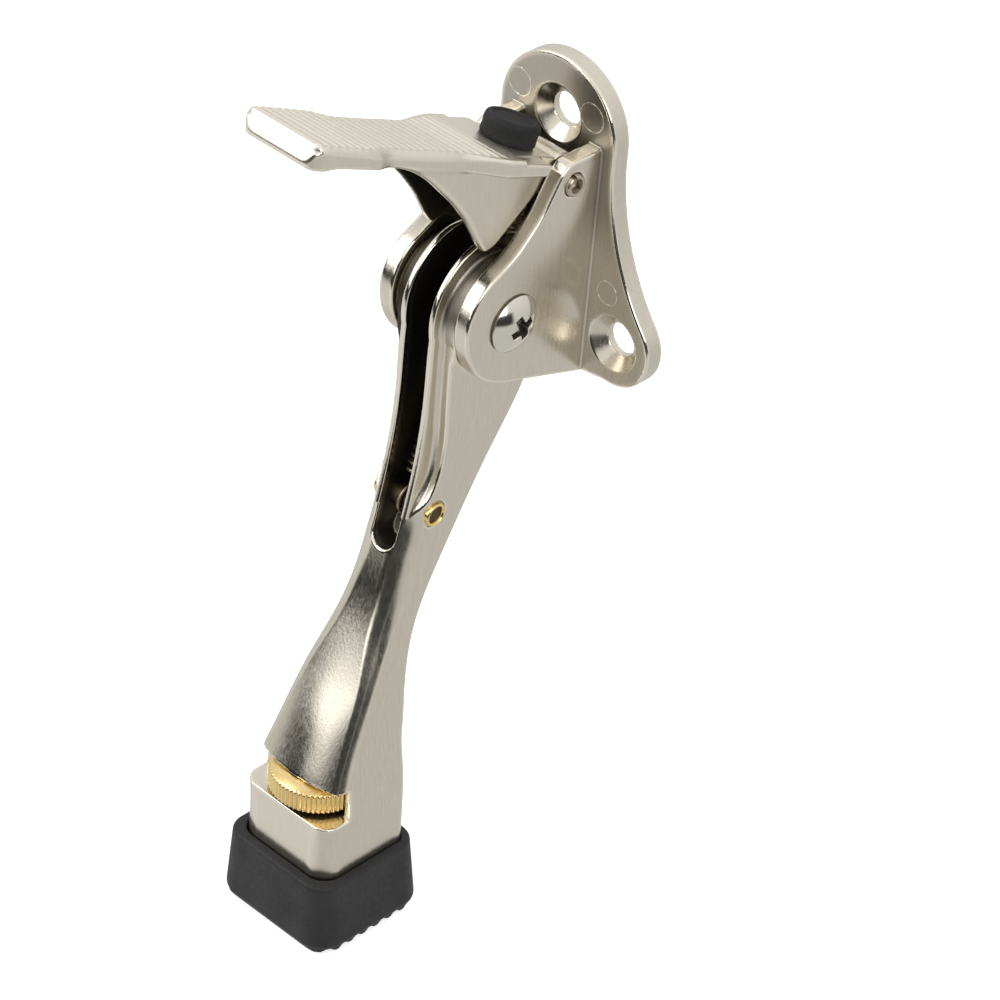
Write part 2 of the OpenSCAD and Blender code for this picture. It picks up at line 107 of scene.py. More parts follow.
def polygon_distance(points, corners):
    """Signed distance from 2-D points to a closed polygon."""
    nearest = np.full(len(points), 1e18)
    sign = np.ones(len(points))
    for i in range(len(corners)):
        a, b = corners[i], corners[i - 1]
        side = b - a
        square = float(side @ side)
        if square < 1e-12:
            continue
        w = points - a
        t = np.clip((w @ side) / square, 0, 1)
        dx, dy = w[:, 0] - t * side[0], w[:, 1] - t * side[1]
        nearest = np.minimum(nearest, dx * dx + dy * dy)
        above, below = points[:, 1] >= a[1], points[:, 1] < b[1]
        left = side[0] * w[:, 1] > side[1] * w[:, 0]
        crosses = (above & below & left) | (~above & ~below & ~left)
        sign = np.where(crosses, -sign, sign)
    return sign * np.sqrt(nearest)


def cubic_weights(f):
    """Catmull-Rom weights of four neighbours, at fraction f between the middle two."""
    return (-0.5 * f + f * f - 0.5 * f ** 3, 1 - 2.5 * f * f + 1.5 * f ** 3,
            0.5 * f + 2 * f * f - 1.5 * f ** 3, -0.5 * f * f + 0.5 * f ** 3)


class Outline:
    """Signed distance to a 2-D outline, blurred on a fine grid and read back smoothly."""

    MARGIN = 5.0
    CELL = 0.16

    def __init__(self, points, soft):
        """soft is the width of the blur, in cells."""
        corners = np.array(points, float)
        low, high = corners.min(0) - self.MARGIN, corners.max(0) + self.MARGIN
        size = np.ceil((high - low) / self.CELL).astype(int) + 1
        axes = [low[k] + self.CELL * np.arange(size[k]) for k in (0, 1)]
        grid = np.stack(np.meshgrid(*axes, indexing="ij"), -1)
        table = polygon_distance(grid.reshape(-1, 2), corners).reshape(size)
        reach = max(3, int(math.ceil(2.8 * soft)))
        kernel = np.exp(-0.5 * (np.arange(-reach, reach + 1) / soft) ** 2)
        kernel /= kernel.sum()
        for axis in (0, 1):
            border = [(reach, reach) if a == axis else (0, 0) for a in (0, 1)]
            wide = np.pad(table, border, mode="edge")
            table = sum(kernel[j] * np.take(wide, np.arange(j, j + size[axis]), axis=axis)
                        for j in range(2 * reach + 1))
        self.table, self.low, self.size = table, low, size

    def __call__(self, u, v):
        u, v = np.broadcast_arrays(np.asarray(u, float), np.asarray(v, float))
        a = (u - self.low[0]) / self.CELL
        b = (v - self.low[1]) / self.CELL
        a_in = np.clip(a, 1.001, self.size[0] - 2.002)
        b_in = np.clip(b, 1.001, self.size[1] - 2.002)
        outside = np.hypot(a - a_in, b - b_in) * self.CELL
        i, j = a_in.astype(int), b_in.astype(int)
        weights_a, weights_b = cubic_weights(a_in - i), cubic_weights(b_in - j)
        total = 0
        for p in range(4):
            row = 0
            for q in range(4):
                row = row + weights_b[q] * self.table[i + p - 1, j + q - 1]
            total = total + weights_a[p] * row
        return total + outside


def both(a, b, r):
    """Inside a and b, with the edge between them rounded by r."""
    return np.minimum(np.maximum(a, b), -r) + np.hypot(np.maximum(a + r, 0), np.maximum(b + r, 0))


def either(a, b, r):
    """Inside a or b, with the corner between them filled by r."""
    return -both(-a, -b, r)


def cut(a, b, r):
    """a without b, with the new edge rounded by r."""
    return both(a, -b, r)


def ease(value, start, end):
    """0 up to start, 1 from end on, and smooth between."""
    t = np.clip((value - start) / (end - start), 0, 1)
    return t * t * (3 - 2 * t)


def hermite(xs, ys):
    """A smooth rule through the stations (xs, ys), xs rising."""
    xs, ys = np.array(xs, float), np.array(ys, float)
    slopes = np.gradient(ys, xs)

    def rule(x):
        x = np.clip(x, xs[0], xs[-1])
        i = np.clip(np.searchsorted(xs, x) - 1, 0, len(xs) - 2)
        h = xs[i + 1] - xs[i]
        t = (x - xs[i]) / h
        return ((2 * t ** 3 - 3 * t * t + 1) * ys[i] + (t ** 3 - 2 * t * t + t) * h * slopes[i]
                + (-2 * t ** 3 + 3 * t * t) * ys[i + 1] + (t ** 3 - t * t) * h * slopes[i + 1])

    return rule


def spline(xs, ys):
    """A natural cubic spline through the stations (xs, ys), xs rising."""
    xs, ys = np.array(xs, float), np.array(ys, float)
    n = len(xs)
    h = np.diff(xs)
    system, known = np.eye(n), np.zeros(n)
    for i in range(1, n - 1):
        system[i, i - 1], system[i, i], system[i, i + 1] = h[i - 1], 2 * (h[i - 1] + h[i]), h[i]
        known[i] = 6 * ((ys[i + 1] - ys[i]) / h[i] - (ys[i] - ys[i - 1]) / h[i - 1])
    bend = np.linalg.solve(system, known)

    def rule(x):
        x = np.clip(x, xs[0], xs[-1])
        i = np.clip(np.searchsorted(xs, x) - 1, 0, n - 2)
        a, b = xs[i + 1] - x, x - xs[i]
        return ((bend[i] * a ** 3 + bend[i + 1] * b ** 3) / (6 * h[i])
                + (ys[i] / h[i] - bend[i] * h[i] / 6) * a
                + (ys[i + 1] / h[i] - bend[i + 1] * h[i] / 6) * b)

    return rule


# ------------------------------------------------------------------ meshes from fields
def gradient(field, points, reach):
    out = np.empty_like(points)
    for k in range(3):
        shift = np.zeros(3)
        shift[k] = reach
        out[:, k] = (field(*(points + shift).T) - field(*(points - shift).T)) / (2 * reach)
    return out


def cell_quads(field, low, high, cell):
    """One point in each grid cell the surface crosses, and the quads that join them."""
    n = np.ceil((high - low) / cell).astype(int) + 1
    axes = [low[k] + cell * np.arange(n[k]) for k in range(3)]
    values = np.empty(n, np.float32)
    for i in range(0, n[0], 24):         # in slices, to save memory
        values[i:i + 24] = field(axes[0][i:i + 24, None, None], axes[1][None, :, None],
                                 axes[2][None, None, :])
    inside = values < 0
    corners_in = np.zeros(n - 1, np.uint8)
    for a in (0, 1):
        for b in (0, 1):
            for c in (0, 1):
                corners_in += inside[a:n[0] - 1 + a, b:n[1] - 1 + b, c:n[2] - 1 + c]
    crossed = (corners_in > 0) & (corners_in < 8)
    index = np.full(n - 1, -1, np.int64)
    count = int(crossed.sum())
    index[crossed] = np.arange(count)
    total, hits = np.zeros((count, 3)), np.zeros(count)
    quads = []
    for k in range(3):
        near, far = [slice(None)] * 3, [slice(None)] * 3
        near[k], far[k] = slice(0, -1), slice(1, None)
        near, far = tuple(near), tuple(far)
        change = inside[near] != inside[far]
        edges = np.argwhere(change)
        v0, v1 = values[near][change].astype(float), values[far][change].astype(float)
        place = low + cell * edges
        place[:, k] += cell * (v0 / (v0 - v1))
        p, q = [(1, 2), (2, 0), (0, 1)][k]
        keep = ((edges[:, p] > 0) & (edges[:, q] > 0)
                & (edges[:, p] < n[p] - 1) & (edges[:, q] < n[q] - 1))
        edges, place, starts_in = edges[keep], place[keep], (v0 < 0)[keep]
        ids = []
        for dp, dq in ((-1, -1), (0, -1), (0, 0), (-1, 0)):
            around = edges.copy()
            around[:, p] += dp
            around[:, q] += dq
            ids.append(index[around[:, 0], around[:, 1], around[:, 2]])
        ids = np.stack(ids, 1)
        for j in range(4):
            hits += np.bincount(ids[:, j], minlength=count)
            for d in range(3):
                total[:, d] += np.bincount(ids[:, j], weights=place[:, d], minlength=count)
        quads.append(np.where(starts_in[:, None], ids, ids[:, ::-1]))
    return total / np.maximum(hits, 1)[:, None], np.concatenate(quads)


def settle(field, points, cell, times):
    """Pulls points onto the zero surface, by short steps."""
    for _ in range(times):
        slope = gradient(field, points, 0.03)
        distance = field(*points.T)
        step = (distance / np.maximum((slope * slope).sum(1), 0.2))[:, None] * slope
        length = np.linalg.norm(step, axis=1)
        points = points - step * np.minimum(1, 0.6 * cell / np.maximum(length, 1e-9))[:, None]
    return points


def even_out(field, points, quads, cell):
    """Relaxes the points along the surface, so the quads are even."""
    count = len(points)
    start = np.concatenate([quads[:, j] for j in range(4)])
    end = np.concatenate([quads[:, (j + 1) % 4] for j in range(4)])
    degree = np.bincount(start, minlength=count) + np.bincount(end, minlength=count)
    points = settle(field, points, cell, 2)
    for _ in range(2):
        mean = np.stack([np.bincount(start, weights=points[end, d], minlength=count)
                         + np.bincount(end, weights=points[start, d], minlength=count)
                         for d in range(3)], 1) / np.maximum(degree, 1)[:, None]
        points = settle(field, points + 0.5 * (mean - points), cell, 1)
    return settle(field, points, cell, 1)


def edge_amount(field, points, reach=0.35, gain=0.28):
    """How convex the surface is at each point, from -1 to 1."""
    bend = -6 * field(*points.T)
    for k in range(3):
        for side in (-reach, reach):
            shift = np.zeros(3)
            shift[k] = side
            bend = bend + field(*(points + shift).T)
    return np.clip(bend / (reach * reach) * gain, -1, 1)


def link_object(name, data):
    obj = bpy.data.objects.new(name, data)
    bpy.context.collection.objects.link(obj)
    return obj


def surface(name, field, low, high, cell, normal_reach=0.07, shade=None):
    """Quads on the zero surface, with smooth normals and 'edge' and 'shade' attributes."""
    points, quads = cell_quads(field, np.array(low, float), np.array(high, float), cell)
    points = even_out(field, points, quads, cell)
    normals = gradient(field, points, normal_reach)
    normals /= np.maximum(np.linalg.norm(normals, axis=1), 1e-9)[:, None]
    attributes = {"edge": edge_amount(field, points),
                  "shade": shade(points) if shade else np.zeros(len(points))}

    mesh = bpy.data.meshes.new(name)
    mesh.vertices.add(len(points))
    mesh.vertices.foreach_set("co", (points * MM).astype(np.float32).ravel())
    mesh.loops.add(len(quads) * 4)
    mesh.loops.foreach_set("vertex_index", quads.astype(np.int32).ravel())
    mesh.polygons.add(len(quads))
    mesh.polygons.foreach_set("loop_start", np.arange(0, len(quads) * 4, 4, dtype=np.int32))
    mesh.polygons.foreach_set("use_smooth", np.ones(len(quads), bool))
    mesh.update(calc_edges=True)
    mesh.validate()
    for key, values in attributes.items():
        attribute = mesh.attributes.new(key, "FLOAT", "POINT")
        attribute.data.foreach_set("value", values.astype(np.float32))
    mesh.normals_split_custom_set_from_vertices(normals.astype(float).tolist())
    return link_object(name, mesh)


# ------------------------------------------------------------------ meshes from rings
UPRIGHT = Matrix.Identity(4)
ALONG_X = Matrix.Rotation(math.pi / 2, 4, "Y")
FACING_FRONT = Matrix.Rotation(math.pi / 2, 4, "X")


def polar(radius, angle, z):
    """A point in metres, from sizes in millimetres."""
    return (radius * MM * math.cos(angle), radius * MM * math.sin(angle), z * MM)


def skin(name, rings, joined=False, capped=False, turn=UPRIGHT, at=(0, 0, 0), sharp=38):
    """Faces between successive rings of points; a ring of one point is a pole.

    joined ties the last ring to the first; edges bent by more than sharp degrees stay crisp.
    """
    bm = bmesh.new()
    rings = [[bm.verts.new(point) for point in ring] for ring in rings]
    pairs = list(zip(rings, rings[1:]))
    if joined:
        pairs.append((rings[-1], rings[0]))
    for first, second in pairs:
        steps = max(len(first), len(second))
        for k in range(steps):
            face = (first[k % len(first)], first[(k + 1) % len(first)],
                    second[(k + 1) % len(second)], second[k % len(second)])
            bm.faces.new(list(dict.fromkeys(face)))
    if capped:
        bm.faces.new(rings[0][::-1])
        bm.faces.new(rings[-1])
    bmesh.ops.recalc_face_normals(bm, faces=bm.faces)
    bmesh.ops.transform(bm, matrix=Matrix.Translation(Vector(at) * MM) @ turn, verts=bm.verts)
    for face in bm.faces:
        face.smooth = True
    for edge in bm.edges:
        if len(edge.link_faces) == 2 and edge.calc_face_angle(0) > math.radians(sharp):
            edge.smooth = False
    mesh = bpy.data.meshes.new(name)
    bm.to_mesh(mesh)
    bm.free()
    return link_object(name, mesh)


def lathe(name, profile, turn, at, steps):
    """A turned piece; profile is (radius, height), closed on itself unless it ends on the axis."""
    rings = [[polar(r, 2 * math.pi * k / steps, z) for k in range(steps if r >= 1e-6 else 1)]
             for r, z in profile]
    joined = len(rings[0]) > 1 and len(rings[-1]) > 1
    return skin(name, rings, joined=joined, turn=turn, at=at)


def rounded(profile, radius, steps=5):
    """An open profile with its inner corners rounded."""
    out = [profile[0]]
    for i in range(1, len(profile) - 1):
        corner, before, after = (np.array(profile[j], float) for j in (i, i - 1, i + 1))
        u, v = before - corner, after - corner
        len_u, len_v = np.linalg.norm(u), np.linalg.norm(v)
        trim = min(radius, 0.45 * len_u, 0.45 * len_v)
        start, end = corner + u / len_u * trim, corner + v / len_v * trim
        for k in range(steps + 1):
            s = k / steps
            out.append(tuple((1 - s) ** 2 * start + 2 * s * (1 - s) * corner + s * s * end))
    out.append(profile[-1])
    return out


# ------------------------------------------------------------------ shader helpers
def new_material(name):
    material = bpy.data.materials.new(name)
    material.use_nodes = True
    tree = material.node_tree
    tree.nodes.clear()
    output = tree.nodes.new("ShaderNodeOutputMaterial")
    shader = tree.nodes.new("ShaderNodeBsdfPrincipled")
    tree.links.new(shader.outputs[0], output.inputs[0])
    return material, tree, shader


def feed(tree, socket, value):
    """Links value to the socket, or sets it if it is a plain value."""
    if isinstance(value, bpy.types.NodeSocket):
        tree.links.new(value, socket)
    else:
        socket.default_value = value


def node(tree, kind, inputs=None, **settings):
    """A node; inputs maps input names or numbers to sockets or values."""
    made = tree.nodes.new(kind)
    for key, value in settings.items():
        setattr(made, key, value)
    for key, value in (inputs or {}).items():
        feed(tree, made.inputs[key], value)
    return made


def noise(tree, vector, scale, detail, rough):
    return node(tree, "ShaderNodeTexNoise", {
        "Scale": scale, "Detail": detail, "Roughness": rough, "Vector": vector}).outputs["Fac"]


def ramp(tree, value, source, target=(0.0, 1.0)):
    """Maps the source range to the target range, clamped."""
    return node(tree, "ShaderNodeMapRange", {
        "From Min": source[0], "From Max": source[1],
        "To Min": target[0], "To Max": target[1], "Value": value}).outputs[0]


def math_node(tree, operation, *values):
    return node(tree, "ShaderNodeMath", dict(enumerate(values)), operation=operation).outputs[0]


def mix_color(tree, factor, a, b):
    return node(tree, "ShaderNodeMix", {0: factor, 6: a, 7: b}, data_type="RGBA").outputs[2]


def mix_value(tree, factor, a, b):
    return node(tree, "ShaderNodeMix", {0: factor, 2: a, 3: b}, data_type="FLOAT").outputs[0]


def attribute(tree, name):
    return node(tree, "ShaderNodeAttribute", attribute_name=name).outputs["Fac"]


def object_coords(tree):
    return node(tree, "ShaderNodeTexCoord").outputs["Object"]


def add_bump(tree, shader, height, strength, distance):
    bump = node(tree, "ShaderNodeBump",
                {"Strength": strength, "Distance": distance, "Height": height})
    tree.links.new(bump.outputs[0], shader.inputs["Normal"])


def tint(color, factor=1.0):
    """An opaque colour, scaled in brightness."""
    return tuple(c * factor for c in color) + (1,)


# ------------------------------------------------------------------ materials
# near-black colour of the painted shade, mixed in by the 'shade' attribute
PAINTED_SHADE_TINT = (0.04, 0.033, 0.024)


def metal(name, light, dark, rough, polish=None, shaded=False, streak=(1, 1, 1), scale=900,
          bump=0.2):
    """Metal with fine lines, soft blotches and a fine grain.

    polish is the roughness of rubbed edges; with it, or with shaded, the 'shade' attribute paints
    shade onto the metal.
    streak stretches the lines along an axis and scale sets how fine they are.
    """
    material, tree, shader = new_material(name)
    coords = object_coords(tree)
    stretched = node(tree, "ShaderNodeMapping", {"Scale": streak, "Vector": coords}).outputs[0]
    lines = noise(tree, stretched, scale=scale, detail=3.0, rough=0.6)
    blotches = noise(tree, coords, scale=70, detail=3.0, rough=0.55)
    grain = noise(tree, coords, scale=2600, detail=2.0, rough=0.5)
    color = mix_color(tree, ramp(tree, lines, (0.3, 0.7)), tint(dark), tint(light))
    patches = ramp(tree, blotches, (0.35, 0.75), (0.0, 0.35))
    color = mix_color(tree, patches, color, tint(light, 0.93))
    roughness = math_node(tree, "ADD",
                          ramp(tree, lines, (0.25, 0.75), (rough - 0.05, rough + 0.06)),
                          ramp(tree, blotches, (0.3, 0.7), (-0.03, 0.03)))
    if polish is not None:
        worn = ramp(tree, attribute(tree, "edge"), (0.10, 0.42))
        color = mix_color(tree, worn, color, tint(light, 1.12))
        roughness = mix_value(tree, worn, roughness, polish)
    # painted shade: the 'shade' attribute takes the colour towards a near black and the roughness
    # towards 0.45
    if polish is not None or shaded:
        shade = attribute(tree, "shade")
        color = mix_color(tree, shade, color, tint(PAINTED_SHADE_TINT))
        roughness = mix_value(tree, shade, roughness, 0.45)
    feed(tree, shader.inputs["Base Color"], color)
    feed(tree, shader.inputs["Roughness"], roughness)
    shader.inputs["Metallic"].default_value = 1.0
    height = math_node(tree, "ADD", math_node(tree, "MULTIPLY", lines, 0.6),
                       math_node(tree, "MULTIPLY", grain, 0.5))
    add_bump(tree, shader, height, strength=bump, distance=0.00004)
    return material


def rubber(name, base, rough=0.62, bump=0.35, scale=1500):
    """Black rubber with a fine grain and dusty patches."""
    material, tree, shader = new_material(name)
    coords = object_coords(tree)
    grain = noise(tree, coords, scale=scale, detail=3.0, rough=0.6)
    dust = noise(tree, coords, scale=110, detail=4.0, rough=0.6)
    dusty = tuple(c * 1.7 + 0.004 for c in base) + (1,)
    color = mix_color(tree, ramp(tree, dust, (0.35, 0.75)), tint(base), dusty)
    feed(tree, shader.inputs["Base Color"], color)
    feed(tree, shader.inputs["Roughness"],
         ramp(tree, grain, (0.3, 0.7), (rough - 0.07, rough + 0.08)))
    shader.inputs["Specular IOR Level"].default_value = 0.4
    add_bump(tree, shader, grain, strength=bump, distance=0.00006)
    return material


SATIN = metal("satin_nickel", light=(0.70, 0.655, 0.56), dark=(0.635, 0.59, 0.50), rough=0.22,
              polish=0.10, streak=(1, 1, 0.12), scale=2600, bump=0.38)
BLASTED = metal("bead_blasted_nickel", light=(0.74, 0.695, 0.60), dark=(0.68, 0.635, 0.545),
                rough=0.36, polish=0.26, streak=(1, 1, 0.2), scale=1800, bump=0.35)
POLISHED = metal("polished_nickel", light=(0.72, 0.69, 0.62), dark=(0.68, 0.65, 0.58),
                 rough=0.11, shaded=True, scale=500, bump=0.05)
STEEL = metal("plain_steel", light=(0.60, 0.60, 0.60), dark=(0.5, 0.5, 0.5), rough=0.26,
              scale=800, bump=0.1)
ROLLED = metal("rolled_pin_nickel", light=(0.56, 0.51, 0.43), dark=(0.46, 0.41, 0.34),
               rough=0.30, scale=800)
# dark metal for the rivet's core: painted shade in the slot and inside the rivet's bore
PAINTED_SHADE_CORE_METAL = metal("painted_shade_dark_core", light=(0.11, 0.082, 0.05), dark=(0.07, 0.05, 0.03), rough=0.45)
SPRING = metal("oiled_spring_steel", light=(0.42, 0.35, 0.26), dark=(0.30, 0.24, 0.17),
               rough=0.42)
BRASS = metal("turned_brass", light=(0.86, 0.66, 0.30), dark=(0.78, 0.57, 0.24), rough=0.20,
              streak=(1, 1, 8), scale=420, bump=0.1)
RUBBER = rubber("moulded_rubber", (0.012, 0.012, 0.013))
BUMPER_RUBBER = rubber("bumper_rubber", (0.007, 0.007, 0.0075), rough=0.7, bump=0.6, scale=2200)


def dress(obj, body, material, slot, replaced=None):
    """Gives a piece its material, the body it rides on and the CAD node it replaces."""
    obj.data.materials.clear()
    obj.data.materials.append(material)
    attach(obj, body)
    if replaced:
        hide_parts(replaced)


# ------------------------------------------------------------------ mounting bracket
LOBE_X = 14.6                                          # middle of each lower lobe
SCREW_HOLES = [(0, 32.3), (LOBE_X, 0), (-LOBE_X, 0)]   # x, z
SCREW_HOLE_R = 2.6


def arc(x, z, radius, start, end, steps):
    """Points on an arc; start and end in degrees."""
    angles = [math.radians(start + (end - start) * i / steps) for i in range(steps + 1)]
    return [(x + radius * math.cos(a), z + radius * math.sin(a)) for a in angles]


# right half of the plate, (x, z): lower lobe, hollow flank, round top
PLATE_SIDE = ([(0, -7.7), (9, -7.55)] + arc(LOBE_X, 0, 6.95, -97, 38.93, 28)
              + arc(50.5, 29, 39.2, 218.93, 180, 30)[1:] + arc(0, 30.3, 11.3, 0, 90, 30))
plate_outline = Outline(PLATE_SIDE + [(-x, z) for x, z in PLATE_SIDE[::-1][1:-1]], soft=1.4)
# ear seen from the side, (y, z, corner radius)
ear_outline = Outline(fillet([
    (-1.0, -7.3, 0), (-3.3, -7.7, 0), (-15.7, -3.85, 20), (-21.0, -2.4, 20), (-25.6, 0.4, 12),
    (-28.3, 5.2, 12), (-28.8, 10.2, 10), (-26.4, 15.2, 8), (-19.2, 19.0, 14), (-14.8, 23.4, 14),
    (-11.2, 29.3, 1.6), (-9.6, 30.4, 2.0), (-1.0, 30.6, 0)]), soft=1.2)


def bracket_field(x, y, z):
    half_plate = PLATE_THICK / 2
    plate = both(plate_outline(x, z), np.abs(y + half_plate) - half_plate, 0.42)
    side = np.abs(x)
    ear_middle, ear_half = (EAR_INNER + EAR_OUTER) / 2, (EAR_OUTER - EAR_INNER) / 2
    ears = both(ear_outline(y, z), np.abs(side - ear_middle) - ear_half, 0.42)
    f = either(plate, ears, 0.22)
    for hole_x, hole_z in SCREW_HOLES:
        # the countersink opens to the front
        radius = np.hypot(x - hole_x, z - hole_z)
        cone = (radius - (SCREW_HOLE_R + (-y - 1.35))) / math.sqrt(2)
        countersink = np.maximum(np.maximum(cone, y + 1.25), -3.9 - y)
        f = cut(f, np.minimum(radius - SCREW_HOLE_R, countersink), 0.14)
    bore = np.hypot(y - HINGE_Y, z - HINGE_Z) - 1.82
    return cut(f, np.maximum(bore, 5 - side), 0.18)


def bracket_shade(points):
    """Painted shade on the plate's face, darker towards its top, and a painted dark reflection
    along the ears' upper edge.
    """
    x, y, z = points.T
    on_face = ease(-y, 3.0, 3.25) * (1 - ease(-y, 3.5, 4.2))
    # painted shade on the front face, stronger towards the top and to the right
    face_shade = 0.15 + ease(z, 12, 22) * (0.20 + 0.15 * ease(x, -2, 7))
    face = on_face * face_shade * ease(-plate_outline(x, z), 0.3, 1.0)
    side = np.abs(x)
    across = ease(side, 6.5, 7.0) * (1 - ease(side, 8.2, 8.7))
    along = ease(z, 15.5, 18.5) * (1 - ease(z, 28.2, 29.3)) * ease(-y, 9, 10)
    # painted dark reflection along the upper front edge of each ear
    return np.maximum(face, 0.5 * (np.abs(ear_outline(y, z)) < 0.3) * across * along)


def casting_mark(tag, x, z, radius):
    """A faint raised ring on the plate's front face."""
    profile = [(radius + dr, height) for dr, height in (
        (-0.16, -0.05), (-0.10, 0.03), (0, 0.055), (0.10, 0.03), (0.16, -0.05))]
    ring = lathe("casting_mark_" + tag, profile, FACING_FRONT, (x, -PLATE_THICK, z), steps=72)
    dress(ring, "bracket", SATIN, "satin_nickel")


dress(surface("bracket_casting", bracket_field, (-22.6, -30, -9), (22.6, 1, 42.6), CAST_CELL,
              shade=bracket_shade), "bracket", SATIN, "satin_nickel", "mounting_bracket")
casting_mark("a", -7.75, 34.0, 2.2)
casting_mark("b", 6.46, 34.5, 2.2)
casting_mark("c", 12.6, 7.84, 1.9)

# ------------------------------------------------------------------ arm
WINDOW_Z, WINDOW_HALF = -68.35, 2.65       # thumbwheel window
RIM_Y, RIM_Z, RIM_R = -18.6, 8.0, 11.1     # round top end of the arm

# front and back edges in side view: z stations, then y
front_y = spline([-68.5, -65.8, -62.5, -57.2, -51, -45, -39.3, -34, -28.6, -18.7, -8, 2],
                 [-50.75, -49.75, -48.3, -45.8, -42.5, -39.45, -36.85, -35.0, -33.6, -31.35,
                  -29.9, -29.6])
back_y = spline([-72, -64, -57, -49, -40, -32, -27.5, -22.8, -16, -8, -1.5, 4],
                [-33.9, -34.0, -33.85, -32.7, -29.3, -25.2, -22.8, -20.25, -16.2, -11.3, -9.5,
                 -9.4])
# how far the shoulders lie behind the front ridge: z stations, then depth
ridge_depth = hermite([-80, -30.6, -26.5, -24.2, -22.6, -20.2, -17.6, -14, -4, 2, 9, 30],
                      [-0.3, -0.3, -0.2, 0.3, 1.15, 2.35, 2.95, 2.95, 2.15, 2.0, 1.8, 1.8])
# half width of the arm: z stations, then x
arm_half = spline(
    [-90, -77, -71, -66.5, -63, -57, -51, -43, -36, -30, -24, -18, -2, 0, 30],
    [9.45, 9.35, 9.2, 8.85, 8.3, 7.6, 6.8, 5.55, 5.2, 5.22, 5.28, 5.38, 5.42, 5.42, 5.42])
# radius of the front edges: z stations, then radius
front_round = hermite([-90, -72, -67, -63, -57, -51, -43, -36, -30, -24, -20, -14, 0, 30],
                      [3.3, 3.2, 1.7, 1.5, 1.6, 1.8, 2.8, 3.4, 3.8, 3.8, 1.8, 0.8, 0.5, 0.4])
# line between front and back: z stations, then y
middle_y = hermite([-90, -50, -36, -24, 0, 30], [-42, -38, -31, -27, -20, -19])

FRONT_EDGE = [(float(front_y(z)), float(z)) for z in np.arange(2, -67.3, -0.7)]
BACK_EDGE = [(float(back_y(z)), float(z)) for z in np.arange(-72, 4.01, 0.8)]
SHOULDER_EDGE = [(y + float(ridge_depth(z)), z) for y, z in FRONT_EDGE]
# side views, (y, z)
core_outline = Outline(
    [(-10.6, 2), (-20, 14), (-29.3, 10)] + FRONT_EDGE
    + [(-50.45, -67.9), (FOOT_FRONT, -69.0), (FOOT_FRONT, -85), (-33.9, -85)] + BACK_EDGE,
    soft=2.6)
shoulder_outline = Outline(
    [(-10.6, 2), (-20, 14), (-27.4, 9)] + SHOULDER_EDGE
    + [(-51.5, -69.0), (-51.5, -85.3), (-33.9, -85.3)] + BACK_EDGE, soft=1.8)
# spring slot, (y, z, corner radius)
slot_outline = Outline(fillet([
    (-60, 30, 0), (-60, -36, 0), (-30.4, -36, 0), (-29.6, -30, 4), (-27.4, -27.2, 3),
    (-25.0, -24.5, 3), (-12.4, 7.5, 0), (-6, 24, 0), (-6, 30, 0)]), soft=1.0)


def rim_distance(y, z):
    return np.hypot(y - RIM_Y, z - RIM_Z) - RIM_R


def arm_field(x, y, z):
    side = np.abs(x)
    hub = np.hypot(y - PIVOT_Y, z - PIVOT_Z)
    front = 1 - ease(y, middle_y(z) - 2, middle_y(z) + 2)
    # the front face is crowned towards the foot
    crown = front * 0.021 * x * x * ease(-z, 40, 60) * (1 - ease(-z, 65, 70))
    core = np.minimum(core_outline(y, z), rim_distance(y, z))
    wall = np.minimum(shoulder_outline(y, z), hub - 8.9)
    # broad round edge between the front face and each side
    rounding = front * front_round(z) + (0.75 + 0.8 * ease(-z, 56, 64)) * (1 - front)
    # the hub is thicker than the arm below it
    half = arm_half(z) + 0.55 * ease(10.6 - hub, 0, 1.4) * ease(z, -6, -1)
    body = both(both(core + crown, side - half, rounding), wall, 0.35)
    ridge = both(core, side - 3.35, 0.35)
    # the ridge runs out smoothly, and only on the front
    blend = 0.04 + 0.86 * front * ease(z, -24.5, -21.5)
    f = np.where(z > -24.5, either(body, ridge, blend), body)
    # round boss on each side of the hub
    f = either(f, both(hub - 8.2, side - 6.2, 0.25), 0.1)
    # spring slot with a round lower end
    slot_width = np.hypot(x, np.minimum(z + 28.4, 0)) - 2.3
    f = cut(f, np.maximum(slot_width, slot_outline(y, z)), 0.3)
    # thumbwheel window, open to the front, and its round pocket
    level = np.abs(z - WINDOW_Z) - WINDOW_HALF
    window = np.maximum(y + 46.0, level)
    pocket = np.maximum(np.hypot(x, y - WHEEL_Y) - 7.8, level)
    f = cut(f, np.minimum(window, pocket), 0.2)
    # seat round the rivet
    seat = np.hypot(y - ANCHOR_Y, z - ANCHOR_Z) - 2.12
    return cut(f, np.maximum(seat, 5.0 - side), 0.12)


def arm_shade(points):
    """Painted shade inside the slot, away from its mouth, and in the groove round each boss."""
    x, y, z = points.T
    front = np.minimum(core_outline(y, z), rim_distance(y, z))
    in_slot = (np.abs(x) < 2.42) * (1 - ease(slot_outline(y, z), -0.3, 0.3))
    # painted shade in the slot and, below, in the grooves round the bosses
    slot = 0.9 * in_slot * ease(-front, 0.25, 1.6)
    hub = np.hypot(y - PIVOT_Y, z - PIVOT_Z)
    ring = ease(np.abs(x), 3.2, 3.8) * (1 - ease(hub, 10.2, 11.0)) * ease(hub, 8.3, 8.6)
    groove = ring * np.where(x < 0, 0.97 * ease(z, -4, 0), 0.8 * ease(z, 4, 12))
    return np.maximum(slot, groove)


dress(surface("arm_casting", arm_field, (-10.2, -52, -86.2), (10.2, -5.5, 20.8), CAST_CELL,
              shade=arm_shade), "arm", SATIN, "satin_nickel", "holder_arm")

# ------------------------------------------------------------------ pedal
RIB_PITCH = 1.5

# top of the tread: y stations, then z
TOP_Y = [-60, -57.5, -53.3, -50, -46.9, -44.2, -40, -36.8, -30.2, -24, -20.1, -16.5, -12.2, -6]
TOP_Z = [51.7, 50.75, 48.95, 47.45, 46.0, 44.7, 42.8, 41.4, 38.75, 36.3, 34.75, 33.3, 31.6, 29.1]
top_z = hermite(TOP_Y, TOP_Z)
